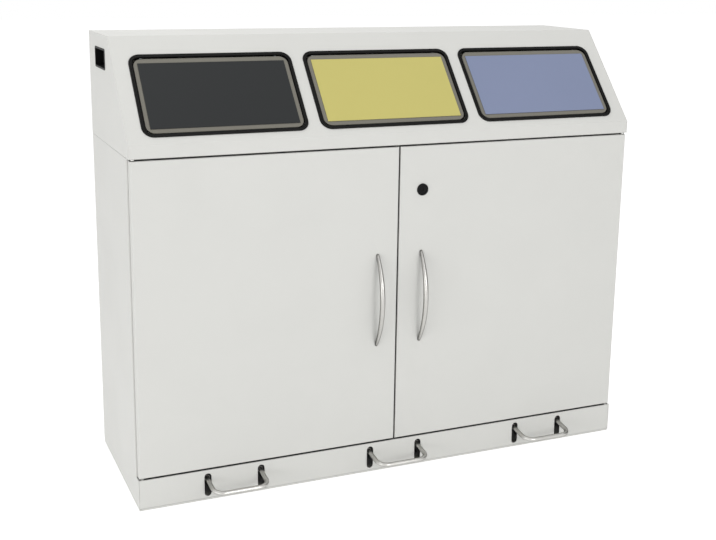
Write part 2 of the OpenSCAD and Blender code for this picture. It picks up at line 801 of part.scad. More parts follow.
module door_stiffener(side) {
    mid = (half_w - door_inset + door_gap / 2) / 2;
    deep = door_depth - 2 * sheet - 2 * lay_fit;
    web = stiffener_w / 2 - half_t;
    wing = stiffener_w / 2 + stiffener_wing;
    color(powder) on_side(side)
        translate([mid, front_y + sheet + lay_fit, door_bottom + door_lip + stiffener_end])
            linear_extrude(door_top - door_bottom - 2 * door_lip - 2 * stiffener_end) folded([
                [-wing, half_t], [-web, half_t], [-web, deep - half_t],
                [web, deep - half_t], [web, half_t], [wing, half_t]
            ]);
}

// Crescent bow: the outer arc spans the whole handle, the inner arc leaves a foot at each end
function arc_r(chord, rise) = chord * chord / (8 * rise) + rise / 2;

module door_handle(side) {
    x = side > 0 ? handle_x_right : handle_x_left;
    outer_r = arc_r(handle_len, handle_bow);
    inner_rise = handle_bow - handle_t;
    inner_r = arc_r(handle_len - 2 * handle_foot, inner_rise);
    color(satin) on_side(side) difference() {
        bar_x([x - handle_w / 2, front_y - handle_bow + outer_r, handle_z], handle_w, 2 * outer_r);
        bar_x([x - handle_w, front_y - inner_rise + inner_r, handle_z], 2 * handle_w, 2 * inner_r);
        slab(x - handle_w, x + handle_w, front_y, front_y + 3 * outer_r,
            handle_z - 2 * outer_r, handle_z + 2 * outer_r);
        for (sz = [-1, 1])
            bar_y([x, front_y - plate_t, handle_z + sz * handle_screw_z], plate_t + over,
                screw_d + 2 * press_fit);
    }
}

module handle_screws(side) {
    x = side > 0 ? handle_x_right : handle_x_left;
    color(zinc) on_side(side) for (sz = [-1, 1]) {
        z = handle_z + sz * handle_screw_z;
        bar_y([x, front_y - screw_grip, z], sheet + screw_grip, screw_d);
        bar_y([x, front_y + sheet, z], screw_head_h, screw_head_d);
    }
}

module door_bushes(side) {
    bush_d = pin_d + 2 * bush_wall;
    color(black) on_side(side) translate([door_axis_x, door_axis_y, 0]) difference() {
        union() {
            for (z = [door_bottom, door_top - bush_len])
                translate([0, 0, z]) cylinder(h = bush_len, d = bush_d);
            for (z = [door_bottom - bush_flange_t, door_top])
                translate([0, 0, z]) cylinder(h = bush_flange_t, d = bush_d + 2 * bush_flange_w);
        }
        translate([0, 0, door_bottom - door_gap])
            cylinder(h = door_top - door_bottom + 2 * door_gap, d = pin_d + 2 * run_fit);
    }
}

module door_pivot_pins() {
    collar = door_gap - bush_flange_t - loose_fit;
    pin_len = pin_tail + door_gap + bush_len - over;
    color(satin) for (side = [-1, 1]) translate([side * door_axis_x, door_axis_y, 0]) {
        translate([0, 0, plinth_top - pin_tail]) cylinder(h = pin_len, d = pin_d);
        translate([0, 0, plinth_top]) cylinder(h = collar, d = pin_d + 2 * pin_collar_w);
        translate([0, 0, hood_bottom + pin_tail - pin_len]) cylinder(h = pin_len, d = pin_d);
        translate([0, 0, hood_bottom - collar]) cylinder(h = collar, d = pin_d + 2 * pin_collar_w);
    }
}

module door_magnets() {
    color(black) for (side = [-1, 1]) translate([side * magnet_x, 0, 0])
        slab(-magnet_w / 2, magnet_w / 2, door_back_y + magnet_air, top_rail_y,
            door_top - door_lip + magnet_edge, door_top - magnet_edge);
}

// Lock on the right door, and the strike that its cam turns behind
module lock_place() {
    translate([handle_x_right, front_y, lock_z]) rotate([-90, 0, 0]) children();
}

module lock_barrel() {
    color(black) lock_place() difference() {
        union() {
            translate([0, 0, -rosette_t]) cylinder(h = rosette_t, d = lock_d);
            cylinder(h = barrel_len, d = barrel_d);
        }
        translate([0, 0, -rosette_t - over])
            cylinder(h = rosette_t + barrel_len + 2 * over, d = plug_d + 2 * run_fit);
    }
}

module lock_nut() {
    color(zinc) lock_place() translate([0, 0, sheet]) difference() {
        cylinder(h = nut_t, d = nut_d, $fn = 6);
        translate([0, 0, -over]) cylinder(h = nut_t + 2 * over, d = barrel_d + 2 * press_fit);
    }
}

module lock_plug() {
    cam_z = cam_y - front_y;
    color(satin) lock_place() difference() {
        union() {
            translate([0, 0, plug_set - rosette_t]) cylinder(h = cam_z + rosette_t - plug_set, d = plug_d);
            translate([-tang_w / 2, -tang_w / 2, cam_z - over]) cube([tang_w, tang_w, cam_t + over]);
        }
        translate([-key_w / 2, -key_h / 2, -rosette_t]) cube([key_w, key_h, key_deep]);
        translate([0, 0, cam_z - cam_screw_len - over])
            cylinder(h = cam_screw_len + cam_t + 2 * over, d = screw_d + 2 * press_fit);
    }
}

module lock_cam() {
    color(zinc) lock_place() translate([0, 0, cam_y - front_y]) linear_extrude(cam_t) difference() {
        union() {
            circle(d = cam_hub_d);
            translate([0, -cam_w / 2]) square([cam_len, cam_w]);
            translate([cam_len, 0]) circle(d = cam_w);
        }
        square(tang_w + 2 * press_fit, center = true);
    }
}

module cam_screw() {
    color(zinc) lock_place() translate([0, 0, cam_y - front_y]) {
        translate([0, 0, -cam_screw_len]) cylinder(h = cam_screw_len + cam_t, d = screw_d);
        translate([0, 0, cam_t]) cylinder(h = screw_head_h, d = cam_screw_head_d);
    }
}

module lock_strike() {
    color(zinc) translate([handle_x_right, 0, 0])
        slab(-strike_w / 2, strike_w / 2, top_rail_y - sheet, top_rail_y,
            lock_z + cam_hub_d / 2 + strike_gap, top_rail_top - strike_edge);
}

module panel_screws() {
    points = concat(
        [for (side = [-1, 1], z = screw_heights()) [side * (half_w - return_w / 2), z]],
        [for (x = hood_screw_xs()) [x, hood_screw_z]]
    );
    color(zinc) for (p = points) {
        bar_y([p[0], back_y - 4 * sheet, p[1]], 4 * sheet, screw_d);
        bar_y([p[0], back_y, p[1]], screw_head_h, screw_head_d);
    }
}

side_panel(-1);  // side_panel_left
side_panel(1);  // side_panel_right
back_panel();
floor_pan();
plinth_front();
top_rail();
hood_shell();
hood_cheek(-1);  // hood_cheek_left
hood_cheek(1);  // hood_cheek_right
hinge_rail();
lid_hinge_brackets();
lid_hinge_pins();
lid_stops();
opening_trim(-1);  // opening_trim_left
opening_trim(0);  // opening_trim_centre
opening_trim(1);  // opening_trim_right
grip_cup(-1);  // grip_cup_left
grip_cup(1);  // grip_cup_right
base_frame();
inner_bin(-1);  // inner_bin_left
inner_bin(0);  // inner_bin_centre
inner_bin(1);  // inner_bin_right
bin_handles();
rod_channels();
rod_guides();
pedal_axle();
axle_brackets();
door_magnets();
door_pivot_pins();
lock_strike();
panel_screws();
door_panel(-1);  // door_panel_left
door_stiffener(-1);  // door_stiffener_left
door_handle(-1);  // door_handle_left
handle_screws(-1);  // handle_screws_left
door_bushes(-1);  // door_bushes_left
door_panel(1);  // door_panel_right
door_stiffener(1);  // door_stiffener_right
door_handle(1);  // door_handle_right
handle_screws(1);  // handle_screws_right
door_bushes(1);  // door_bushes_right
lock_barrel();
lock_nut();
lock_plug();
lock_cam();
cam_screw();
lid_plate(-1);  // lid_plate_left
lid_plate(0);  // lid_plate_centre
lid_plate(1);  // lid_plate_right
lid_panel(-1);  // lid_panel_left
lid_panel(0);  // lid_panel_centre
lid_panel(1);  // lid_panel_right
pedal(-1);  // pedal_left
pedal(0);  // pedal_centre
pedal(1);  // pedal_right
pull_rod(-1);  // pull_rod_left
pull_rod(0);  // pull_rod_centre
pull_rod(1);  // pull_rod_right
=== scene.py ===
import json
import math

import bmesh
import bpy
from mathutils import Matrix, Vector


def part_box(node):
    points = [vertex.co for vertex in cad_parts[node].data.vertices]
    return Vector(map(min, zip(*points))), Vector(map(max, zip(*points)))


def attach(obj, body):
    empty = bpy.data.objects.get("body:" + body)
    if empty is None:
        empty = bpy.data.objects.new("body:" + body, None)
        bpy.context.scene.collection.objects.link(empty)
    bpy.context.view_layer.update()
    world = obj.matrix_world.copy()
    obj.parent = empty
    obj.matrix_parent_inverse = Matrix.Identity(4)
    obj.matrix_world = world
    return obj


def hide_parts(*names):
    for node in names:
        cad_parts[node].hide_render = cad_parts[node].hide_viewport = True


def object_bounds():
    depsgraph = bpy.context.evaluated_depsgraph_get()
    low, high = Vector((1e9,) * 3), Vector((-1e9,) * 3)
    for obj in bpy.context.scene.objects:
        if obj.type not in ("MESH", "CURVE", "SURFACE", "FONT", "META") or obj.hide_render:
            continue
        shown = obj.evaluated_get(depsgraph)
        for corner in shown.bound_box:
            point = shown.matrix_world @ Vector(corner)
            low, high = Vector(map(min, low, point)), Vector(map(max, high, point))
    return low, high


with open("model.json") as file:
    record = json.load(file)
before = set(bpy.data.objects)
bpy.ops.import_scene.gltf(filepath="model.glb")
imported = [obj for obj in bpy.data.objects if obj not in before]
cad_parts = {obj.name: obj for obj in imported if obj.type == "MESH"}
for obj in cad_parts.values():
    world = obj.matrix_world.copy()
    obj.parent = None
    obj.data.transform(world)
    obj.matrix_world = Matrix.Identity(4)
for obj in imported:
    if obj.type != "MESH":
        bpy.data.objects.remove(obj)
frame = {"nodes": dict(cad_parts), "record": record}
cad_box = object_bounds()
nodes = frame["nodes"]

MM = 0.001
NODE_MERGE = 0.005 * MM  # corners of a node's loose triangles that lie nearer than this are one
LOOP_MERGE = 0.01 * MM  # and so are the points where a shape's last loop meets its first
BAYS = ("left", "centre", "right")
SIDES = ("left", "right")

# Image frame and the camera found from the corners of the cabinet
IMAGE_WIDTH = 716
IMAGE_HEIGHT = 540
SENSOR = 36  # its width, in the millimetres that lenses are given in
FOCAL_PIXELS = 1134.8
CENTRE_PIXEL = (358, 215)
CAMERA_PLACE = (-1.0739, -2.4722, 1.1783)
CAMERA_YAW = math.radians(-23.18)
CAMERA_PITCH = math.radians(-12.62)
CAMERA_ROLL = math.radians(-0.77)

# Hood: the slope rises from the top of the fascia to the flat top
FASCIA_HEIGHT = 29 * MM
FLAT_TOP_DEPTH = 215 * MM
hood_low, hood_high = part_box("hood_shell")
slope_run = hood_high[1] - hood_low[1] - FLAT_TOP_DEPTH
slope_rise = hood_high[2] - hood_low[2] - FASCIA_HEIGHT
slope_angle = math.atan2(slope_rise, slope_run)

# Colours, as sRGB values from 0 to 255
POWDER_GREY = (222, 222, 218)
CHARCOAL = (38, 40, 41)
PALE_YELLOW = (203, 194, 116)
GREY_BLUE = (134, 144, 173)
LID_GREY = (120, 117, 107)
RUBBER_BLACK = (10, 10, 9)
PLASTIC_BLACK = (12, 12, 12)
ZINC_GREY = (176, 180, 184)
GALVANISED_GREY = (168, 172, 176)
SATIN_STEEL = (188, 187, 183)
PEDAL_STEEL = (198, 197, 193)


def linear(colour, share=1.0):
    """Linear RGBA of an sRGB colour written from 0 to 255, at a share of its brightness."""
    def channel(value):
        value /= 255
        return value / 12.92 if value <= 0.04045 else ((value + 0.055) / 1.055) ** 2.4
    return (*(share * channel(value) for value in colour), 1.0)


# Building materials from nodes
def plug(tree, socket, value):
    """Links a socket to another one, or gives it a value."""
    if isinstance(value, bpy.types.NodeSocket):
        tree.links.new(value, socket)
    else:
        socket.default_value = value


def new_node(tree, kind, settings=None, **inputs):
    """A node with its settings, and its named inputs linked or set."""
    made = tree.nodes.new(kind)
    for key, value in (settings or {}).items():
        setattr(made, key, value)
    for key, value in inputs.items():
        plug(tree, made.inputs[key.replace("_", " ")], value)
    return made


def add(tree, kind, settings=None, **inputs):
    """A shader node, named without the words that all of them start with."""
    return new_node(tree, "ShaderNode" + kind, settings, **inputs)


def fill(tree, made, *values):
    """The node with its first inputs linked or set, in their order."""
    for socket, value in zip(made.inputs, values):
        plug(tree, socket, value)
    return made


def maths(tree, operation, first, second=0.0):
    """Output of a Math node on two values or sockets."""
    return fill(tree, add(tree, "Math", {"operation": operation}), first, second).outputs[0]


def vector_maths(tree, operation, *values):
    """Output of a Vector Math node on vectors or sockets."""
    made = add(tree, "VectorMath", {"operation": operation})
    return fill(tree, made, *values).outputs["Vector"]


def between(tree, value, low, high):
    """A value from 0 to 1 spread from low to high."""
    return add(tree, "MapRange", Value=value, To_Min=low, To_Max=high).outputs["Result"]


def mix_colour(tree, factor, first, second):
    """Colour between two colours or sockets."""
    made = add(tree, "Mix", {"data_type": "RGBA"}, Factor=factor, A=first, B=second)
    return made.outputs["Result"]


def object_point(tree):
    """Place on the piece, in its own coordinates."""
    return add(tree, "TexCoord").outputs["Object"]


# Effects that several materials share
def new_group(name, inputs, outputs):
    """Empty shader group with float or vector inputs and value outputs."""
    tree = bpy.data.node_groups.new(name, "ShaderNodeTree")
    for label, kind, value in inputs:
        socket = tree.interface.new_socket(name=label, in_out="INPUT",
                                           socket_type="NodeSocket" + kind)
        socket.default_value = value
    for label in outputs:
        tree.interface.new_socket(name=label, in_out="OUTPUT", socket_type="NodeSocketFloat")
    return tree, tree.nodes.new("NodeGroupInput"), tree.nodes.new("NodeGroupOutput")


WAVE_CELLS = 5  # cells of the fine peel in one broad wave
WAVE_HEIGHT = 0.6  # height of the broad waves beside the fine peel


def peel_group():
    """Orange peel of a sprayed or baked coat: fine bumps over broad soft waves."""
    tree, given, out = new_group("coat peel", [("Cell", "Float", 2 * MM)], ["Height", "Fleck"])
    point = object_point(tree)
    fine_scale = maths(tree, "DIVIDE", 1.0, given.outputs["Cell"])
    fine = add(tree, "TexNoise", Vector=point, Scale=fine_scale, Detail=2.0, Roughness=0.45)
    broad_scale = maths(tree, "DIVIDE", 1 / WAVE_CELLS, given.outputs["Cell"])
    broad = add(tree, "TexNoise", Vector=point, Scale=broad_scale, Detail=1.0)
    waves = maths(tree, "MULTIPLY", broad.outputs["Fac"], WAVE_HEIGHT)
    plug(tree, out.inputs["Height"], maths(tree, "ADD", fine.outputs["Fac"], waves))
    plug(tree, out.inputs["Fleck"], fine.outputs["Fac"])
    return tree


def smudge_group():
    """Broad uneven patches, as wiping and handling leave them."""
    tree, given, out = new_group("handling", [("Size", "Float", 120 * MM)], ["Patch"])
    scale = maths(tree, "DIVIDE", 1.0, given.outputs["Size"])
    patch = add(tree, "TexNoise", Vector=object_point(tree), Scale=scale, Detail=4.0,
                Roughness=0.6, Distortion=0.4)
    spread = add(tree, "MapRange", Value=patch.outputs["Fac"], From_Min=0.3, From_Max=0.7)
    plug(tree, out.inputs["Patch"], spread.outputs["Result"])
    return tree


def brushed_group():
    """Fine lines left by a grinding belt: noise drawn out along one axis."""
    tree, given, out = new_group(
        "belt lines",
        [("Stretch", "Vector", (1.0, 1.0, 1.0)), ("Line", "Float", 0.6 * MM)], ["Height"])
    drawn = vector_maths(tree, "MULTIPLY", object_point(tree), given.outputs["Stretch"])
    scale = maths(tree, "DIVIDE", 1.0, given.outputs["Line"])
    lines = add(tree, "TexNoise", Vector=drawn, Scale=scale, Detail=3.0, Roughness=0.55)
    plug(tree, out.inputs["Height"], lines.outputs["Fac"])
    return tree


SPANGLE_BENDS = 60.0  # bends per metre in the edges of the crystals
SPANGLE_WANDER = 3 * MM  # how far those edges wander


def spangle_group():
    """Crystal patches of a hot-dipped zinc coat, each with its own shade."""
    tree, given, out = new_group("zinc spangle", [("Size", "Float", 12 * MM)], ["Shade", "Edge"])
    point = object_point(tree)
    bent = add(tree, "TexNoise", Vector=point, Scale=SPANGLE_BENDS, Detail=2.0)
    moved = vector_maths(tree, "MULTIPLY_ADD", bent.outputs["Color"], (SPANGLE_WANDER,) * 3, point)
    scale = maths(tree, "DIVIDE", 1.0, given.outputs["Size"])
    cells = add(tree, "TexVoronoi", Vector=moved, Scale=scale)
    shade = add(tree, "SeparateColor", Color=cells.outputs["Color"])
    plug(tree, out.inputs["Shade"], shade.outputs["Red"])
    edge = add(tree, "TexVoronoi", {"feature": "DISTANCE_TO_EDGE"}, Vector=moved, Scale=scale)
    plug(tree, out.inputs["Edge"], edge.outputs["Distance"])
    return tree


FLOOR_STRIP = 20 * MM  # height up to which the nearness of the floor shades nothing


def painted_gap_shade_group():
    """Painted shade: brightness left in a colour near other surfaces, where light hardly comes."""
    tree, given, out = new_group(
        "shaded gaps",
        [("Reach", "Float", 10 * MM), ("Closed", "Float", 0.2), ("Free", "Float", 0.6),
         ("Shade", "Float", 0.1)], ["Brightness"])
    open_air = add(tree, "AmbientOcclusion", {"samples": 6}, Distance=given.outputs["Reach"])
    depth = add(tree, "MapRange", Value=open_air.outputs["AO"], From_Min=given.outputs["Closed"],
                From_Max=given.outputs["Free"], To_Min=given.outputs["Shade"], To_Max=1.0)
    height = add(tree, "SeparateXYZ", Vector=object_point(tree)).outputs["Z"]
    by_floor = maths(tree, "LESS_THAN", height, FLOOR_STRIP)
    brightness = maths(tree, "MAXIMUM", depth.outputs["Result"], by_floor)
    plug(tree, out.inputs["Brightness"], brightness)
    return tree


coat_peel = peel_group()
handling = smudge_group()
belt_lines = brushed_group()
zinc_spangle = spangle_group()
painted_gap_shade = painted_gap_shade_group()


def use(tree, group, **inputs):
    """Outputs of a shared effect that is placed in a material."""
    return add(tree, "Group", {"node_tree": group}, **inputs).outputs


# Materials
def start_material(name):
    """Material with an empty Principled surface: (material, tree, shader)."""
    material = bpy.data.materials.new(name)
    material.use_nodes = True
    tree = material.node_tree
    return material, tree, tree.nodes["Principled BSDF"]


def raise_surface(tree, shader, height, depth):
    """Lays bumps of a given depth on the surface."""
    bump = add(tree, "Bump", Height=height, Distance=depth, Strength=1.0)
    plug(tree, shader.inputs["Normal"], bump.outputs["Normal"])


# Painted gap shade, the colour darkened by ambient occlusion near other surfaces, also on the rims
# and undersides of the bars: how far it looks, the share of open air at which a place counts as
# closed and as free, and the brightness left where it is closed
GAP_PAINTED_SHADE = {"Reach": 7 * MM, "Closed": 0.18, "Free": 0.62, "Shade": 0.06}
DEEP_GAP_PAINTED_SHADE = {"Reach": 10 * MM, "Closed": 0.4, "Free": 0.8, "Shade": 0.01}
LID_EDGE_PAINTED_SHADE = {"Reach": 9 * MM, "Closed": 0.5, "Free": 0.98, "Shade": 0.3}
HANDLE_PAINTED_SHADE = {"Reach": 60 * MM, "Closed": 0.4, "Free": 0.92, "Shade": 0.3}
PEDAL_PAINTED_SHADE = {"Reach": 18 * MM, "Closed": 0.25, "Free": 0.8, "Shade": 0.2}


def colour_surface(tree, shader, colour, gaps=None):
    """Gives the shader its colour, with painted shade near other surfaces over it where there is
    some.
    """
    if gaps:
        brightness = use(tree, painted_gap_shade, **gaps)["Brightness"]
        darker = add(tree, "VectorMath", {"operation": "SCALE"}, Scale=brightness)
        colour = fill(tree, darker, colour).outputs["Vector"]
    plug(tree, shader.inputs["Base Color"], colour)


COAT_FLECK = 0.965  # brightness of the darkest flecks in a coat
COAT_PATCH = 160 * MM
COAT_UNEVEN = 0.03  # roughness gained or lost from patch to patch


def coated(name, colour, roughness, cell, depth, specular, gaps=None):
    """Baked or sprayed coat: even colour, orange peel and a slightly uneven sheen, with painted
    shade near other surfaces where gaps are given.
    """
    material, tree, shader = start_material(name)
    peel = use(tree, coat_peel, Cell=cell)
    smudge = use(tree, handling, Size=COAT_PATCH)["Patch"]
    fleck = maths(tree, "MULTIPLY", peel["Fleck"], smudge)
    shown = mix_colour(tree, fleck, linear(colour), linear(colour, COAT_FLECK))
    colour_surface(tree, shader, shown, gaps)
    sheen = between(tree, smudge, roughness - COAT_UNEVEN, roughness + COAT_UNEVEN)
    plug(tree, shader.inputs["Roughness"], sheen)
    shader.inputs["Specular IOR Level"].default_value = specular
    raise_surface(tree, shader, peel["Height"], depth)
    return material


METAL_SMUDGE = 0.86  # brightness of the darkest patches on bare metal
METAL_PATCH = 50 * MM
LINE_SMOOTHER = 0.06  # roughness lost on the smoothest lines
LINE_ROUGHER = 0.1  # and gained on the roughest
GRAZING_METAL = (0.1, 0.1, 0.1, 1)  # a worn satin surface reflects less along itself


def metal(name, colour, roughness, stretch, line, depth, gaps=None):
    """Bare metal with belt lines along the axis where stretch is small, and painted shade near
    other surfaces where gaps are given.
    """
    material, tree, shader = start_material(name)
    lines = use(tree, belt_lines, Stretch=stretch, Line=line)["Height"]
    smudge = use(tree, handling, Size=METAL_PATCH)["Patch"]
    shown = mix_colour(tree, smudge, linear(colour), linear(colour, METAL_SMUDGE))
    colour_surface(tree, shader, shown, gaps)
    shader.inputs["Metallic"].default_value = 1.0
    shader.inputs["Specular Tint"].default_value = GRAZING_METAL
    sheen = between(tree, lines, roughness - LINE_SMOOTHER, roughness + LINE_ROUGHER)
    plug(tree, shader.inputs["Roughness"], sheen)
    raise_surface(tree, shader, lines, depth)
    return material


SPANGLE_SIZE = 14 * MM
SPANGLE_SHADE = 0.82  # brightness of the darkest crystals
SPANGLE_SMOOTH = 0.32  # roughness of the smoothest crystals
SPANGLE_ROUGH = 0.5  # and of the roughest
SPANGLE_RIDGE = 0.04 * MM
SHEET_METALLIC = 0.9
SHEET_PATCH = 90 * MM
SHEET_UNEVEN = 0.06  # roughness gained where the sheet was handled


def galvanised(name, colour):
    """Zinc-dipped sheet with its spangle."""
    material, tree, shader = start_material(name)
    spangle = use(tree, zinc_spangle, Size=SPANGLE_SIZE)
    smudge = use(tree, handling, Size=SHEET_PATCH)["Patch"]
    shown = mix_colour(tree, spangle["Shade"], linear(colour), linear(colour, SPANGLE_SHADE))
    colour_surface(tree, shader, shown)
    shader.inputs["Metallic"].default_value = SHEET_METALLIC
    sheen = between(tree, spangle["Shade"], SPANGLE_SMOOTH, SPANGLE_ROUGH)
    handled = maths(tree, "MULTIPLY", smudge, SHEET_UNEVEN)
    plug(tree, shader.inputs["Roughness"], maths(tree, "ADD", sheen, handled))
    raise_surface(tree, shader, spangle["Edge"], SPANGLE_RIDGE)
    return material


# Kinds of coat: roughness, size and height of the orange peel, and specular level
POWDER = {"roughness": 0.5, "cell": 1.6 * MM, "depth": 0.03 * MM, "specular": 0.25}
BAKED = {"roughness": 0.38, "cell": 0.9 * MM, "depth": 0.02 * MM, "specular": 0.5}
PANEL = {"roughness": 0.5, "cell": 0.7 * MM, "depth": 0.015 * MM, "specular": 0.25}
PLASTIC = {"roughness": 0.5, "cell": 0.6 * MM, "depth": 0.03 * MM, "specular": 0.14}
RUBBER = {"roughness": 0.5, "cell": 0.5 * MM, "depth": 0.03 * MM, "specular": 0.14}

# Kinds of metal: roughness, how fast the noise changes along each axis, which is slowly along the
# belt lines, and the width and height of the lines
PLATED = {"roughness": 0.34, "stretch": (1.0, 1.0, 1.0), "line": 0.9 * MM, "depth": 0.012 * MM}
SATIN = {"line": 0.5 * MM, "depth": 0.003 * MM}
UPRIGHT_BAR = {"roughness": 0.28, "stretch": (1.0, 1.0, 0.03), **SATIN}
LEVEL_BAR = {"roughness": 0.3, "stretch": (0.03, 1.0, 1.0), **SATIN}

# Painted shade in gaps on the main coat, deeper on the foot and along the trim on the lids; the
# sides are the same coat without it
powder_coat = coated("powder_coat", POWDER_GREY, **POWDER, gaps=GAP_PAINTED_SHADE)
side_coat = coated("powder_coat_side", POWDER_GREY, **POWDER)
foot_coat = coated("powder_coat_foot", POWDER_GREY, **POWDER, gaps=DEEP_GAP_PAINTED_SHADE)
lid_coat = coated("lid_metal", LID_GREY, **BAKED, gaps=LID_EDGE_PAINTED_SHADE)
charcoal_coat = coated("panel_charcoal", CHARCOAL, **PANEL)
yellow_coat = coated("panel_yellow", PALE_YELLOW, **PANEL)
blue_coat = coated("panel_blue", GREY_BLUE, **PANEL)
black_plastic = coated("black_plastic", PLASTIC_BLACK, **PLASTIC)
black_rubber = coated("black_rubber", RUBBER_BLACK, **RUBBER)
zinc_plate = metal("zinc_steel", ZINC_GREY, **PLATED)
zinc_sheet = galvanised("galvanised_sheet", GALVANISED_GREY)
# Painted shade on the bars: darker rims and backs on the handles near the door, darker pedals near
# the plinth
satin_upright = metal("satin_steel_upright", SATIN_STEEL, **UPRIGHT_BAR, gaps=HANDLE_PAINTED_SHADE)
satin_level = metal("satin_steel", PEDAL_STEEL, **LEVEL_BAR, gaps=PEDAL_PAINTED_SHADE)

SLOT_FINISH = {
    "powder_coat": powder_coat,
    "zinc_steel": zinc_plate,
    "satin_steel": satin_level,
    "black_plastic": black_plastic,
    "black_rubber": black_rubber,
    "lid_metal": lid_coat,
    "panel_charcoal": charcoal_coat,
    "panel_yellow": yellow_coat,
    "panel_blue": blue_coat,
}
SIDE_NODES = ["side_panel_" + side for side in SIDES]
SHEET_NODES = ["inner_bin_" + bay for bay in BAYS] + ["rod_channels"]
FOOT_NODES = ["plinth_front", "floor_pan"]


def finish_of(node, slot):
    """Material of a node: its own one where it has one, or else that of its slot."""
    if node in SIDE_NODES:
        return side_coat
    if node in SHEET_NODES:
        return zinc_sheet
    if node in FOOT_NODES:
        return foot_coat
    return SLOT_FINISH[slot]


# Finishing the solids of the frame: joined triangles, smooth bends and small round edges
SHORTEST = "Shortest Edge"
MORE_THAN = {"data_type": "FLOAT", "operation": "GREATER_THAN"}


def smoothing_group(limit):
    """Geometry group that joins loose triangles, shades edges under the limit smooth, and marks
    the sharper ones for rounding unless they are shorter than the shortest edge."""
    tree = bpy.data.node_groups.new("smooth bends", "GeometryNodeTree")
    for label, way, kind in (("Geometry", "INPUT", "Geometry"), (SHORTEST, "INPUT", "Float"),
                             ("Geometry", "OUTPUT", "Geometry")):
        tree.interface.new_socket(name=label, in_out=way, socket_type="NodeSocket" + kind)
    given = tree.nodes.new("NodeGroupInput")
    out = tree.nodes.new("NodeGroupOutput")
    merged = new_node(tree, "GeometryNodeMergeByDistance", Geometry=given.outputs["Geometry"],
                      Distance=NODE_MERGE)
    smooth = new_node(tree, "GeometryNodeSetShadeSmooth", Geometry=merged.outputs["Geometry"])
    angle = new_node(tree, "GeometryNodeInputMeshEdgeAngle").outputs["Unsigned Angle"]
    sharp = new_node(tree, "FunctionNodeCompare", MORE_THAN, A=angle, B=limit).outputs["Result"]
    crisp = new_node(tree, "GeometryNodeSetShadeSmooth", {"domain": "EDGE"},
                     Geometry=smooth.outputs["Geometry"], Selection=sharp, Shade_Smooth=False)
    ends = new_node(tree, "GeometryNodeInputMeshEdgeVertices").outputs
    length = add(tree, "VectorMath", {"operation": "DISTANCE"})
    fill(tree, length, ends["Position 1"], ends["Position 2"])
    long_enough = new_node(tree, "FunctionNodeCompare", MORE_THAN, A=length.outputs["Value"],
                           B=given.outputs[SHORTEST]).outputs["Result"]
    both = new_node(tree, "FunctionNodeBooleanMath", {"operation": "AND"})
    fill(tree, both, sharp, long_enough)
    marked = new_node(
        tree, "GeometryNodeStoreNamedAttribute", {"data_type": "FLOAT", "domain": "EDGE"},
        Geometry=crisp.outputs["Geometry"], Name="bevel_weight_edge", Value=both.outputs[0])
    plug(tree, out.inputs["Geometry"], marked.outputs["Geometry"])
    return tree


SHARP_EDGE = math.radians(30)
smooth_bends = smoothing_group(SHARP_EDGE)


def soften(piece, width, segments=2, shortest=0.0):
    """Joined faces, small round edges and even shading on a piece."""
    join = piece.modifiers.new("smooth bends", "NODES")
    join.node_group = smooth_bends
    join[smooth_bends.interface.items_tree[SHORTEST].identifier] = shortest
    edge = piece.modifiers.new("round edges", "BEVEL")
    edge.width = width
    edge.segments = segments
    edge.limit_method = "WEIGHT"
    edge.harden_normals = True
    edge.face_strength_mode = "FSTR_ALL"
    even = piece.modifiers.new("even shading", "WEIGHTED_NORMAL")
    even.keep_sharp = True
    even.use_face_influence = True


def paint(piece, material):
    """Gives a piece one material."""
    piece.data.materials.clear()
    piece.data.materials.append(material)


EDGE_ROUND = {"powder_coat": 0.35 * MM, "lid_metal": 0.4 * MM, "panel_charcoal": 0.2 * MM,
              "panel_yellow": 0.2 * MM, "panel_blue": 0.2 * MM}
FINE_ROUND = 0.3 * MM
SCREW_HOLE_STEP = 1.3 * MM  # rims of small holes in sheets have shorter edges and stay crisp

for subpart in frame["record"]["subparts"]:
    name = subpart["node"]
    slot = subpart["material_slot"]
    paint(nodes[name], finish_of(name, slot))
    shortest = SCREW_HOLE_STEP if slot == "powder_coat" or name in SHEET_NODES else 0.0
    soften(nodes[name], EDGE_ROUND.get(slot, FINE_ROUND), shortest=shortest)


# Making new pieces
def put_in_scene(name, data):
    """New object in the scene for a mesh, a camera or a lamp."""
    made = bpy.data.objects.new(name, data)
    bpy.context.scene.collection.objects.link(made)
    return made


def as_object(name, shape):
    """Object in the scene with the faces of a bmesh, which is used up."""
    mesh = bpy.data.meshes.new(name)
    shape.to_mesh(mesh)
    shape.free()
    return put_in_scene(name, mesh)


def make_piece(name, shape, material, body, node):
    """Turns a bmesh into a piece that rides on a body and stands for a node of the frame."""
    bmesh.ops.recalc_face_normals(shape, faces=shape.faces)
    piece = as_object(name, shape)
    for face in piece.data.polygons:
        face.use_smooth = True
    paint(piece, material)
    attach(piece, body)
    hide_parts(node)
    return piece


def middle(node):
    """Middle of a node's box."""
    low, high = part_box(node)
    return (Vector(low) + Vector(high)) / 2


def slope_frame(x, along):
    """Place on the slope: X across, Y up the slope from its foot, Z out of it."""
    foot = Matrix.Translation((x, hood_low[1], hood_low[2] + FASCIA_HEIGHT))
    return foot @ Matrix.Rotation(slope_angle, 4, "X") @ Matrix.Translation((0, along, 0))


def along_slope(point):
    """How far up the slope a point lies."""
    return ((point.y - hood_low[1]) * math.cos(slope_angle)
            + (point.z - hood_low[2] - FASCIA_HEIGHT) * math.sin(slope_angle))


def rectangle(width, height):
    """Flat face on X and Y round the origin."""
    shape = bmesh.new()
    bmesh.ops.create_grid(shape, x_segments=1, y_segments=1, size=0.5)
    bmesh.ops.scale(shape, vec=(width, height, 1), verts=shape.verts)
    return shape


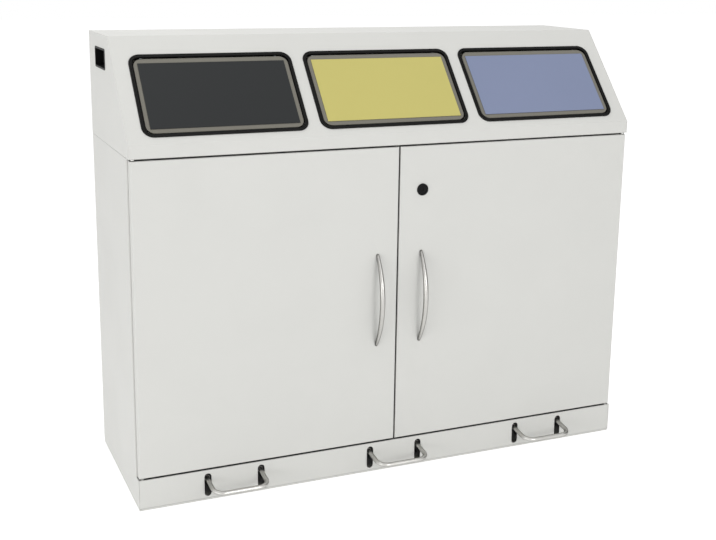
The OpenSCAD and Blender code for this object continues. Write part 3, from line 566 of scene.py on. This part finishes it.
def draw_through(shape, set_face, loops, closed):
    """Extrudes the only face of a shape through loops, each of which set_face gives it. A closed
    run comes back to its first loop and has no ends."""
    shape.faces.ensure_lookup_table()
    face = shape.faces[0]
    set_face(face, *loops[0])
    for loop in loops[1:] + (loops[:1] if closed else []):
        face = bmesh.ops.extrude_discrete_faces(shape, faces=[face])["faces"][0]
        set_face(face, *loop)
    if closed:
        bmesh.ops.delete(shape, geom=[face], context="FACES_ONLY")
        bmesh.ops.remove_doubles(shape, verts=shape.verts, dist=LOOP_MERGE)
    return shape


CORNER_SEGMENTS = 10


def ring(width, height, radius, section):
    """Closed frame with round corners: its section is a loop of (inset from the outline, level)."""
    shape = rectangle(width, height)
    bmesh.ops.bevel(shape, geom=shape.verts[:], offset=radius, offset_type="OFFSET",
                    segments=CORNER_SEGMENTS, profile=0.5, affect="VERTICES", material=-1)
    corner = (width / 2 - radius, height / 2 - radius)

    def set_outline(face, inset, level):
        for vert in face.verts:
            x, y = vert.co.xy
            centre = Vector((math.copysign(corner[0], x), math.copysign(corner[1], y)))
            outward = (vert.co.xy - centre).normalized()
            vert.co = (*(centre + outward * (radius - inset)), level)

    return draw_through(shape, set_outline, section, closed=True)


def polygon_radius(angle, apothem, flats):
    """Distance to the side of a regular polygon, or the radius of a circle where flats is 0."""
    if not flats:
        return apothem
    half = math.pi / flats
    return apothem / math.cos((angle + half) % (2 * half) - half)


def set_round(face, radius, level, flats=0):
    """Gives a round face its radius and level, or makes it a polygon with that many flats."""
    for vert in face.verts:
        angle = math.atan2(vert.co.y, vert.co.x)
        reach = polygon_radius(angle, radius, flats)
        vert.co = (reach * math.cos(angle), reach * math.sin(angle), level)


def turned(profile, sides, hollow=False):
    """Round shape about Z from loops of (radius, level) or (radius, level, flats). A hollow one
    ends where it starts."""
    shape = bmesh.new()
    bmesh.ops.create_circle(shape, cap_ends=True, segments=sides, radius=1)
    return draw_through(shape, set_round, profile, closed=hollow)


def solids_of(node):
    """Boxes of the separate solids in a node, as (lowest, highest) corners."""
    shape = bmesh.new()
    shape.from_mesh(nodes[node].data)
    bmesh.ops.remove_doubles(shape, verts=shape.verts, dist=NODE_MERGE)
    boxes = []
    left = set(shape.verts)
    while left:
        group = {left.pop()}
        newest = set(group)
        while newest:
            reached = {edge.other_vert(vert) for vert in newest for edge in vert.link_edges}
            newest = reached - group
            group |= newest
        left -= group
        boxes.append(tuple(Vector(pick(vert.co[axis] for vert in group) for axis in range(3))
                           for pick in (min, max)))
    shape.free()
    return sorted(boxes, key=lambda box: tuple(box[0]))


def join_shapes(shapes):
    """One bmesh from several, which are used up."""
    whole = bmesh.new()
    mesh = bpy.data.meshes.new("part")
    for shape in shapes:
        shape.to_mesh(mesh)
        shape.free()
        whole.from_mesh(mesh)
    bpy.data.meshes.remove(mesh)
    return whole


# Black edge trim round each lid opening: a lip over the sheet, a groove for it and a fine bead
TRIM_RADIUS = 25 * MM
TRIM_BAND = 8 * MM
TRIM_PROUD = 2.5 * MM
TRIM_UNDER = 4 * MM
TRIM_LAP = 3 * MM
TRIM_CHAMFER = 0.6 * MM
SHEET_PLAY = 0.1 * MM
GROOVE_DEPTH = 1.6 * MM
FURROW_LEVEL = 1.7 * MM
BEAD_LEVEL = 2.3 * MM
# The four stretches of its section, as (inset from the outer edge, level above the sheet)
TRIM_LIP = [(0, SHEET_PLAY), (0, 1.0 * MM), (0.5 * MM, 1.9 * MM), (1.4 * MM, TRIM_PROUD),
            (3.4 * MM, TRIM_PROUD)]
TRIM_BEAD = [(3.8 * MM, FURROW_LEVEL), (4.4 * MM, FURROW_LEVEL), (4.8 * MM, BEAD_LEVEL),
             (6.8 * MM, BEAD_LEVEL), (7.6 * MM, FURROW_LEVEL), (TRIM_BAND, 0.8 * MM)]
TRIM_FOOT = [(TRIM_BAND, TRIM_CHAMFER - TRIM_UNDER), (TRIM_BAND - TRIM_CHAMFER, -TRIM_UNDER),
             (TRIM_CHAMFER, -TRIM_UNDER), (0, TRIM_CHAMFER - TRIM_UNDER)]
TRIM_GROOVE = [(0, -GROOVE_DEPTH), (TRIM_LAP, -GROOVE_DEPTH), (TRIM_LAP, SHEET_PLAY)]
TRIM_SECTION = TRIM_LIP + TRIM_BEAD + TRIM_FOOT + TRIM_GROOVE


def opening_trim(bay):
    """Trim round one opening, as wide and as long up the slope as the opening's own solid."""
    node = "opening_trim_" + bay
    low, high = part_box(node)
    thick = TRIM_PROUD + TRIM_UNDER
    length = (high[2] - low[2] - thick * math.cos(slope_angle)) / math.sin(slope_angle)
    shape = ring(high[0] - low[0], length, TRIM_RADIUS, TRIM_SECTION)
    centre = middle(node)
    place = slope_frame(centre.x, along_slope(centre))
    bmesh.ops.transform(shape, matrix=place, verts=shape.verts)
    make_piece("edge_trim_" + bay, shape, black_rubber, "cabinet", node)


for bay in BAYS:
    opening_trim(bay)


# Bow handles: a round bar, thinner towards its ends, bent to a crescent
HANDLE_STEPS = 48
HANDLE_SIDES = 20
HANDLE_RADIUS = 5.8 * MM
HANDLE_TIP_RADIUS = 3.2 * MM
HANDLE_TAPER = 2.5  # the higher, the nearer to the ends the bar thins


def bow_handle(side):
    """Handle of one door, bent in the upright plane that stands out from the door."""
    node = "door_handle_" + side
    low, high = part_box(node)
    centre = middle(node)
    bow = high[1] - low[1] - HANDLE_RADIUS
    reach = (high[2] - low[2]) / 2 - HANDLE_TIP_RADIUS
    bow_radius = (reach ** 2 + bow ** 2) / (2 * bow)
    half_turn = math.asin(reach / bow_radius)
    shape = bmesh.new()
    start = Matrix.Rotation(half_turn, 4, "X") @ Matrix.Translation((0, -bow_radius, 0))
    bmesh.ops.create_circle(shape, cap_ends=True, segments=HANDLE_SIDES, radius=HANDLE_RADIUS)
    bmesh.ops.transform(shape, matrix=start, verts=shape.verts)
    bmesh.ops.spin(shape, geom=shape.faces[:], cent=(0, 0, 0), axis=(1, 0, 0), dvec=(0, 0, 0),
                   angle=-2 * half_turn, steps=HANDLE_STEPS, use_merge=False, use_duplicate=False)
    for vert in shape.verts:
        turn = math.atan2(vert.co.z, -vert.co.y)
        line = Vector((0, -bow_radius * math.cos(turn), bow_radius * math.sin(turn)))
        thinned = (1 - HANDLE_TIP_RADIUS / HANDLE_RADIUS) * abs(turn / half_turn) ** HANDLE_TAPER
        vert.co = line + (vert.co - line) * (1 - thinned)
    place = (centre.x, low[1] + HANDLE_RADIUS + bow_radius, centre.z)
    bmesh.ops.translate(shape, vec=place, verts=shape.verts)
    make_piece("bow_handle_" + side, shape, satin_upright, "door_" + side, node)


for side in SIDES:
    bow_handle(side)


# Lock: a turned rosette on the door, with the threaded barrel behind it
ROSETTE_SIDES = 48
ROSETTE_RADIUS = 14 * MM
ROSETTE_PROUD = 3.5 * MM
ROSETTE_ROUND = 0.1 * MM
BARREL_RADIUS = 9.5 * MM
BARREL_BORE = 7.2 * MM
THREAD_PITCH = 1.5 * MM
THREAD_DEPTH = 0.5 * MM
# Rings round the bore, as (distance from the bore, depth below the highest ring)
ROSETTE_RINGS = ((0, 0.7 * MM), (0.5 * MM, 0.2 * MM), (1.6 * MM, 0.2 * MM), (1.8 * MM, 0.8 * MM),
                 (2.4 * MM, 0.8 * MM), (2.7 * MM, 0.1 * MM), (3.2 * MM, 0))
# Rounded rim, as (distance in from the rim, level above the door)
ROSETTE_RIM = ((2.2 * MM, 3.4 * MM), (0.9 * MM, 2.8 * MM), (0.2 * MM, 1.8 * MM), (0, 0.4 * MM),
               (0.3 * MM, 0))


def lock_rosette():
    """Rosette with its rings and rim, and the barrel with a thread for its nut."""
    low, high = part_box("lock_barrel")
    length = high[1] - low[1] - ROSETTE_PROUD
    root = BARREL_RADIUS - THREAD_DEPTH
    profile = [(BARREL_BORE + out, ROSETTE_PROUD - sunk) for out, sunk in ROSETTE_RINGS]
    profile += [(ROSETTE_RADIUS - inset, level) for inset, level in ROSETTE_RIM]
    profile.append((root, 0))
    for ridge in range(1, int(length / THREAD_PITCH)):
        profile += [(BARREL_RADIUS, -ridge * THREAD_PITCH), (root, -(ridge + 0.5) * THREAD_PITCH)]
    profile += [(root, -length), (BARREL_BORE, -length)]
    shape = turned(profile, ROSETTE_SIDES, hollow=True)
    centre = middle("lock_barrel")
    place = Matrix.Translation((centre.x, low[1] + ROSETTE_PROUD, centre.z))
    turn = Matrix.Rotation(math.pi / 2, 4, "X")
    bmesh.ops.transform(shape, matrix=place @ turn, verts=shape.verts)
    return make_piece("lock_rosette", shape, black_plastic, "door_right",
                      "lock_barrel")


soften(lock_rosette(), ROSETTE_ROUND, segments=1)


# Button-head screws in the back, with a hexagon socket
SCREW_SIDES = 24
SHANK_RADIUS = 2 * MM
SHANK_CHAMFER = 0.4 * MM
HEAD_RADIUS = 4 * MM
HEAD_HEIGHT = 2.2 * MM
HEAD_CHAMFER = 0.2 * MM
SOCKET_FLATS = 6
SOCKET_RADIUS = 1.25 * MM  # from the middle of the socket to its flats
SOCKET_CHAMFER = 0.15 * MM
SOCKET_DEPTH = 1.3 * MM
# Round top of the head, as (share of its radius, share of its height)
HEAD_TOP = ((0.97, 0.35), (0.86, 0.66), (0.68, 0.88), (0.46, 1))


def button_screw(low, high):
    """Screw along Y with its head at the back end of the given box."""
    head = high[1] - HEAD_HEIGHT
    profile = [
        (SHANK_RADIUS - SHANK_CHAMFER, low[1]),
        (SHANK_RADIUS, low[1] + SHANK_CHAMFER), (SHANK_RADIUS, head),
        (HEAD_RADIUS - HEAD_CHAMFER, head), (HEAD_RADIUS, head + HEAD_CHAMFER),
        *((HEAD_RADIUS * wide, head + HEAD_HEIGHT * up) for wide, up in HEAD_TOP),
        (SOCKET_RADIUS + SOCKET_CHAMFER, high[1], SOCKET_FLATS),
        (SOCKET_RADIUS, high[1] - SOCKET_CHAMFER, SOCKET_FLATS),
        (SOCKET_RADIUS, high[1] - SOCKET_DEPTH, SOCKET_FLATS),
    ]
    shape = turned(profile, SCREW_SIDES)
    place = Matrix.Translation(((low[0] + high[0]) / 2, 0, (low[2] + high[2]) / 2))
    turn = Matrix.Rotation(-math.pi / 2, 4, "X")
    bmesh.ops.transform(shape, matrix=place @ turn, verts=shape.verts)
    return shape


screws = [button_screw(low, high) for low, high in solids_of("panel_screws")]
make_piece("back_screws", join_shapes(screws), zinc_plate, "cabinet", "panel_screws")


# Camera
def place_camera():
    """Camera as in the photo, from its yaw, its pitch and its roll about the line of sight."""
    data = bpy.data.cameras.new("camera")
    data.sensor_width = SENSOR
    data.lens = FOCAL_PIXELS / IMAGE_WIDTH * SENSOR
    data.shift_x = (IMAGE_WIDTH / 2 - CENTRE_PIXEL[0]) / IMAGE_WIDTH
    data.shift_y = (CENTRE_PIXEL[1] - IMAGE_HEIGHT / 2) / IMAGE_WIDTH
    camera = put_in_scene("camera", data)
    turn = (Matrix.Rotation(CAMERA_YAW, 3, "Z") @ Matrix.Rotation(CAMERA_PITCH, 3, "X")
            @ Matrix.Rotation(CAMERA_ROLL, 3, "Y"))
    right, forward, up = turn.col
    camera.matrix_world = Matrix((
        (right.x, up.x, -forward.x, CAMERA_PLACE[0]),
        (right.y, up.y, -forward.y, CAMERA_PLACE[1]),
        (right.z, up.z, -forward.z, CAMERA_PLACE[2]),
        (0, 0, 0, 1)))
    bpy.context.scene.camera = camera


# Floor, world and lamps
def seen_directly(tree):
    """1 for rays that show the background: from the camera, by reflection or through glass."""
    rays = add(tree, "LightPath").outputs
    seen = maths(tree, "MAXIMUM", rays["Is Camera Ray"], rays["Is Glossy Ray"])
    return maths(tree, "MAXIMUM", seen, rays["Is Transmission Ray"])


FLOOR_SIZE = 40
FLOOR_SHADE = (0.88, 0.88, 0.88, 1)
FLOOR_LIFT = 0.52  # light that the floor adds to its own shade where a ray shows it directly
FOOT_INSET = 12 * MM  # from the cabinet's outline in to the floor that stays dark under it


def outside_footprint(tree):
    """0 on the floor under the cabinet and 1 elsewhere, so the gaps in the plinth stay dark."""
    point = add(tree, "SeparateXYZ", Vector=object_point(tree)).outputs
    sideways = maths(tree, "ABSOLUTE", point["X"])
    front_to_back = maths(tree, "ABSOLUTE", point["Y"])
    past_side = maths(tree, "GREATER_THAN", sideways, cad_box[1][0] - FOOT_INSET)
    past_depth = maths(tree, "GREATER_THAN", front_to_back, hood_high[1] - FOOT_INSET)
    return maths(tree, "MAXIMUM", past_side, past_depth)


def lay_floor():
    """Pale floor that looks white where nothing shades it."""
    floor = as_object("floor", rectangle(FLOOR_SIZE, FLOOR_SIZE))
    material = bpy.data.materials.new("floor")
    material.use_nodes = True
    tree = material.node_tree
    tree.nodes.clear()
    diffuse = add(tree, "BsdfDiffuse", Color=FLOOR_SHADE)
    shown = maths(tree, "MULTIPLY", seen_directly(tree), outside_footprint(tree))
    lift = add(tree, "Emission", Strength=maths(tree, "MULTIPLY", shown, FLOOR_LIFT))
    total = fill(tree, add(tree, "AddShader"), diffuse.outputs[0], lift.outputs[0])
    add(tree, "OutputMaterial", Surface=total.outputs[0])
    paint(floor, material)


AMBIENT = 0.675  # strength at which the world lights the cabinet


def light_world():
    """World that looks white and lights the cabinet less than that."""
    world = bpy.data.worlds.new("studio")
    bpy.context.scene.world = world
    world.use_nodes = True
    tree = world.node_tree
    background = tree.nodes["Background"]
    background.inputs["Color"].default_value = (1, 1, 1, 1)
    plug(tree, background.inputs["Strength"], between(tree, seen_directly(tree), AMBIENT, 1.0))


def area_lamp(name, place, aim, size, power, only_gloss=False):
    """Rectangular lamp, or one that only shiny surfaces show."""
    data = bpy.data.lights.new(name, "AREA")
    data.shape = "RECTANGLE"
    data.size, data.size_y = size
    data.energy = power
    lamp = put_in_scene(name, data)
    lamp.location = place
    lamp.rotation_euler = (Vector(aim) - Vector(place)).to_track_quat("-Z", "Y").to_euler()
    lamp.visible_diffuse = not only_gloss


CARD_SHADE = (0.02, 0.02, 0.02, 1)
CARD_WIDTH = 1.6
CARD_HEIGHT = 2.6
CARD_PLACE = (2.6, -0.5, 1.31)


def dark_card():
    """Upright dark board beside the set, seen only in reflections, that gives bright metal a
    dark edge."""
    shape = rectangle(CARD_WIDTH, CARD_HEIGHT)
    place = Matrix.Translation(CARD_PLACE) @ Matrix.Rotation(math.pi / 2, 4, "Z")
    upright = Matrix.Rotation(math.pi / 2, 4, "X")
    bmesh.ops.transform(shape, matrix=place @ upright, verts=shape.verts)
    card = as_object("dark_card", shape)
    material, _, shader = start_material("dark card")
    shader.inputs["Base Color"].default_value = CARD_SHADE
    shader.inputs["Specular IOR Level"].default_value = 0
    paint(card, material)
    card.visible_camera = False
    card.visible_diffuse = False
    card.visible_shadow = False


place_camera()
lay_floor()
light_world()
area_lamp("key", place=(0.5, -3.5, 1.0), aim=(0, 0, 0.35), size=(1.2, 0.8), power=21)
area_lamp("side", place=(-3.0, -1.9, 0.4), aim=(0, 0, 0.3), size=(1.8, 0.8), power=16)
area_lamp("strip", place=(0.35, -3.0, 1.9), aim=(0, -0.2, 0.45), size=(0.35, 2.4), power=10,
          only_gloss=True)
area_lamp("overhead", place=(-1.0, 0.6, 3.4), aim=(0, 0, 0.9), size=(2.4, 1.4), power=26)
dark_card()
bpy.context.scene.view_settings.view_transform = "Standard"
